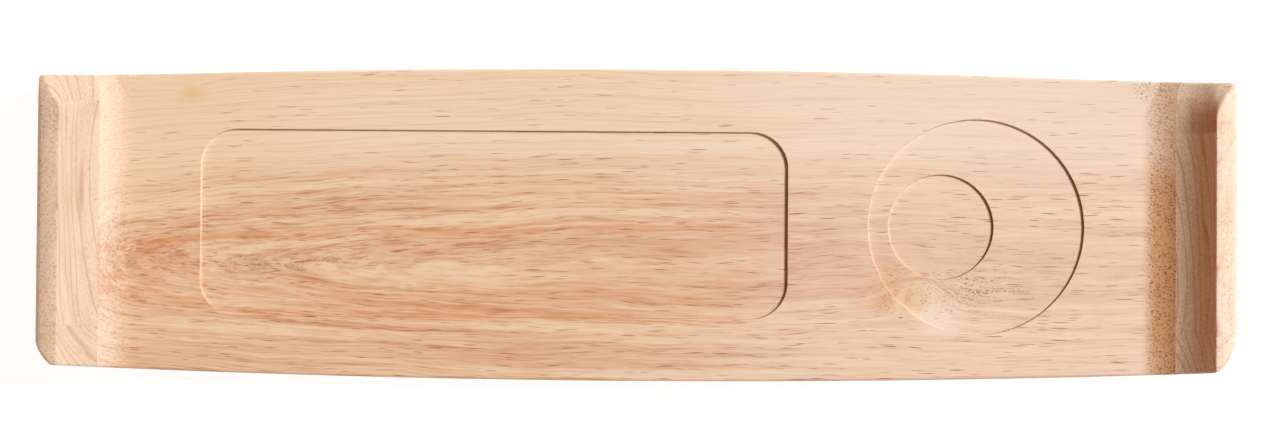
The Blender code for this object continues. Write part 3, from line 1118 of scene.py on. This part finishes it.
def build_wood_group():
    """Return the node group that draws the wood."""
    tree = bpy.data.node_groups.new("solid wood", "ShaderNodeTree")
    for name in NUMBER_INPUTS:
        tree.interface.new_socket(name=name, in_out="INPUT", socket_type="NodeSocketFloat")
    for name in COLOUR_INPUTS:
        tree.interface.new_socket(name=name, in_out="INPUT", socket_type="NodeSocketColor")
    tree.interface.new_socket(name="Color", in_out="OUTPUT", socket_type="NodeSocketColor")
    tree.interface.new_socket(name="Roughness", in_out="OUTPUT", socket_type="NodeSocketFloat")
    tree.interface.new_socket(name="Height", in_out="OUTPUT", socket_type="NodeSocketFloat")
    given = tree.nodes.new("NodeGroupInput").outputs
    result = tree.nodes.new("NodeGroupOutput").inputs

    at = shared_values(tree, given)
    colour = ground_colour(tree, given, at)
    colour = streaky_colour(tree, given, at, colour)
    colour = marked_colour(tree, given, at, colour)
    colour = painted_shade_colour(tree, given, at, colour)
    long_pores = dashes(tree, given, at)
    round_pores = dots(tree, given, at)
    colour = blend(tree, product(tree, long_pores, PORE_STRENGTH), colour, PORE_COLOUR)
    colour = blend(tree, product(tree, round_pores, DOT_STRENGTH), colour, DOT_COLOUR)
    holes = calc(tree, "MAXIMUM", long_pores, product(tree, round_pores, DOT_DEPTH))
    roughness = calc(tree, "MULTIPLY_ADD", holes, PORE_ROUGHNESS, ROUGHNESS)
    height = calc(tree, "MULTIPLY_ADD", at["fibres"], FIBRE_HEIGHT, product(tree, holes, -1.0))
    plug(tree, colour, result["Color"])
    plug(tree, roughness, result["Roughness"])
    plug(tree, height, result["Height"])
    return tree


WOOD = build_wood_group()
print("wood group:", len(WOOD.nodes), "nodes")

# %% [markdown]
# ## One material for each piece
# The plank is tan with strong streaks. The staves are paler, and their gentle ring lines come
# from far outside the board, because they were sawn from the outer part of a large tree. So each
# stave only names what it changes. The cove of the right end faces away from the lamp, and painted
# shade darkens it there. On the left end a faint grey painted shade lies on the cove.

# %% The plank's and the staves' wood
PLANK_WOOD = {
    "Heart Y": -15.6,
    "Heart Z": -11.2,
    "Ring Radius": 26.0,
    "Lean": 0.085,
    "Seed": 3.0,
    "Pale": (0.83, 0.66, 0.46, 1),
    "Tan": (0.69, 0.42, 0.25, 1),
    "Streak": (0.46, 0.185, 0.08, 1),
    "Sap": (0.86, 0.77, 0.63, 1),
    "Ring Lines": 0.15,
    "Streaks": 1.0,
    "Pores": 0.95,
    "Sapwood": 1.0,
    "Highlight And Paling": 0.42,
    "Inner Dots": 1.0,
    "Outer Dots": 0.9,
    "Plank Marks": 1.0,
    # Painted shade for the plank's right cove and the right walls of its recesses.
    "Painted Shade": (0.20, 0.075, 0.045, 1),
    "Shade Side": 1.0,
    "Shade From": -0.45,
    "Shade To": -0.90,
    "Shade Tint": 0.85,
}
STAVE_WOOD = {
    "Heart Y": 15.0,
    "Heart Z": -256.0,
    "Ring Radius": 280.0,
    "Seed": 11.0,
    "Pale": (0.93, 0.79, 0.62, 1),
    "Tan": (0.85, 0.66, 0.47, 1),
    "Streak": (0.56, 0.31, 0.17, 1),
    "Ring Lines": 0.5,
    "Streaks": 0.5,
    "Pores": 0.6,
    "Inner Dots": 0.25,
    "Outer Dots": 1.0,
    # A faint grey painted shade on the cove of the left end.
    "Painted Shade": (0.77, 0.76, 0.77, 1),
    "Shade Side": -1.0,
    "Shade From": -0.02,
    "Shade To": -0.60,
}
RIGHT_END = {
    "Pale": (0.90, 0.82, 0.68, 1),
    "Tan": (0.81, 0.66, 0.50, 1),
    "Ring Lines": 0.7,
    "Inner Dots": 0.4,
    "Outer Dots": 0.2,
    # Painted shade on the cove of the right end, which faces away from the lamp.
    "Painted Shade": (0.90, 0.62, 0.45, 1),
    "Shade Side": 1.0,
    "Shade From": -0.52,
    "Shade To": -0.90,
    "Shade Tint": 0.1,
}
RIGHT_BACK = {
    "Heart Y": 20.0,
    "Seed": 37.0,
    "Pale": (0.92, 0.82, 0.67, 1),
    "Tan": (0.83, 0.67, 0.50, 1),
    "Ring Lines": 0.25,
    # Deeper painted shade where the crest's shadow falls on the back stave's cove.
    "Painted Shade": (0.66, 0.36, 0.22, 1),
    "Shade From": -0.42,
    "Shade Tint": 0.0,
}
PIECE_WOOD = {
    "base_plank": PLANK_WOOD,
    "left_end_front_stave": {**STAVE_WOOD, "Heart Y": 150.0, "Heart Z": -200.0, "Seed": 17.0},
    "left_end_middle_stave": STAVE_WOOD,
    "left_end_back_stave": {**STAVE_WOOD, "Heart Y": 30.0, "Seed": 23.0},
    "right_end_front_stave": {**STAVE_WOOD, **RIGHT_END, "Heart Y": -120.0, "Seed": 29.0},
    "right_end_middle_stave": {**STAVE_WOOD, **RIGHT_END, "Heart Y": -18.0, "Seed": 31.0},
    "right_end_back_stave": {**STAVE_WOOD, **RIGHT_END, **RIGHT_BACK},
}
print("woods for", len(PIECE_WOOD), "pieces")

# %% [markdown]
# ## The finish
# The board is bare or lightly oiled, so it has only a weak gloss. The group's height goes through
# a bump that is less than a tenth of a millimetre deep, which is enough for open vessels.

# %% Materials
PORE_DEPTH = 0.00008
BARE_WOOD_GLOSS = 0.25


def wood_material(name, settings):
    """Return a material that draws one piece's wood."""
    material = bpy.data.materials.new(name)
    material.use_nodes = True
    tree = material.node_tree
    shader = tree.nodes["Principled BSDF"]
    shader.inputs["Specular IOR Level"].default_value = BARE_WOOD_GLOSS
    wood = tree.nodes.new("ShaderNodeGroup")
    wood.node_tree = WOOD
    for setting, value in settings.items():
        wood.inputs[setting].default_value = value
    bump = tree.nodes.new("ShaderNodeBump")
    bump.inputs["Distance"].default_value = PORE_DEPTH
    tree.links.new(wood.outputs["Color"], shader.inputs["Base Color"])
    tree.links.new(wood.outputs["Roughness"], shader.inputs["Roughness"])
    tree.links.new(wood.outputs["Height"], bump.inputs["Height"])
    tree.links.new(bump.outputs["Normal"], shader.inputs["Normal"])
    return material


for name, piece in pieces.items():
    title = "plank" if name == "base_plank" else name.replace("_", " ")
    piece.data.materials.clear()
    piece.data.materials.append(wood_material(f"{title} wood", PIECE_WOOD[name]))
    print(name, "wears", piece.data.materials[0].name)

# %% [markdown]
# ## Put the pieces in place of the frame's nodes
# Each finished piece replaces its plain node and keeps its place in the frame.

# %% Replace the nodes
for name, piece in pieces.items():
    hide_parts(name)
    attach(piece, "root")
print("replaced", len(pieces), "nodes")

# %% [markdown]
# ## A floor like a light table
# The board lies on a plain white floor that glows a little, as a light table does, so its shadow
# almost vanishes. The floor is very wide, so that a low camera sees no far edge.

# %% Floor
FLOOR_SIZE = 200.0
FLOOR_DROP = 0.0002
FLOOR_GLOW = 0.92
FLOOR_ROUGHNESS = 0.9
FLOOR_WHITE = (0.25, 0.25, 0.25, 1)
WHITE = (1, 1, 1, 1)

bpy.ops.object.select_all(action="DESELECT")
bpy.ops.mesh.primitive_plane_add(size=FLOOR_SIZE, location=(0, 0, -FLOOR_DROP))
floor = bpy.context.object
floor.name = "floor"
floor_paint = bpy.data.materials.new("floor white")
floor_paint.use_nodes = True
floor_shader = floor_paint.node_tree.nodes["Principled BSDF"]
floor_shader.inputs["Base Color"].default_value = FLOOR_WHITE
floor_shader.inputs["Roughness"].default_value = FLOOR_ROUGHNESS
floor_shader.inputs["Emission Color"].default_value = WHITE
floor_shader.inputs["Emission Strength"].default_value = FLOOR_GLOW
floor.data.materials.append(floor_paint)
print("floor", FLOOR_SIZE, "m across")

# %% [markdown]
# ## One soft lamp and a warm room
# One wide soft lamp stands on the right and a little behind, halfway up. The rest of the light
# comes from all round and is warm and weak, like light thrown back by wooden furniture. Close to
# the horizon the room is plain white, so the floor has no visible end.

# %% Lights
KEY_AZIMUTH = math.radians(25)
KEY_ELEVATION = math.radians(46)
KEY_STRENGTH = 3.3
KEY_SOFTNESS = math.radians(18)
SKY_STRENGTH = 0.27
SKY_COLOUR = (1.0, 0.50, 0.25, 1)
WALL_FADE = (0.03, 0.06, 1.0, 0.0)

key_direction = Vector((
    math.cos(KEY_ELEVATION) * math.cos(KEY_AZIMUTH),
    math.cos(KEY_ELEVATION) * math.sin(KEY_AZIMUTH),
    math.sin(KEY_ELEVATION),
))
bpy.ops.object.light_add(type="SUN", location=key_direction)
key = bpy.context.object
key.name = "key light"
key.rotation_euler = key_direction.to_track_quat("Z", "Y").to_euler()
key.data.energy = KEY_STRENGTH
key.data.angle = KEY_SOFTNESS

world = bpy.data.worlds.new("studio")
bpy.context.scene.world = world
world.use_nodes = True
studio = world.node_tree
around_us = studio.nodes.new("ShaderNodeTexCoord")
height_split = studio.nodes.new("ShaderNodeSeparateXYZ")
studio.links.new(around_us.outputs["Generated"], height_split.inputs["Vector"])
from_horizon = calc(studio, "ABSOLUTE", height_split.outputs["Z"])
white_wall = fade(studio, from_horizon, *WALL_FADE)
sky_strength = calc(studio, "MULTIPLY_ADD", white_wall, 1 - SKY_STRENGTH, SKY_STRENGTH)
sky = studio.nodes["Background"]
plug(studio, blend(studio, white_wall, SKY_COLOUR, WHITE), sky.inputs["Color"])
plug(studio, sky_strength, sky.inputs["Strength"])
print("key light from", [round(part, 2) for part in key_direction])

# %% [markdown]
# ## The camera
# The camera hangs high above and leans slightly towards the front, so the front wall shows as a
# thin line. The lens is worked out from the width of floor that fills the frame.

# %% Camera
CAMERA_AIM = Vector((0.0016, 0.0041, 0.016))
CAMERA_DISTANCE = 1.8
CAMERA_TILT = math.radians(2.1)
CAMERA_ROLL = math.radians(0.4)
FRAME_WIDTH = 0.5108
SENSOR_WIDTH = 36.0

bpy.ops.object.camera_add()
camera = bpy.context.object
camera.data.sensor_width = SENSOR_WIDTH
camera.data.lens = SENSOR_WIDTH * CAMERA_DISTANCE / FRAME_WIDTH
camera_offset = Vector((0, -math.sin(CAMERA_TILT), math.cos(CAMERA_TILT))) * CAMERA_DISTANCE
camera.location = CAMERA_AIM + camera_offset
camera.rotation_euler = (CAMERA_TILT, 0, CAMERA_ROLL)
bpy.context.scene.camera = camera
bpy.context.scene.view_settings.view_transform = "Standard"
print("lens", round(camera.data.lens, 1), "mm")
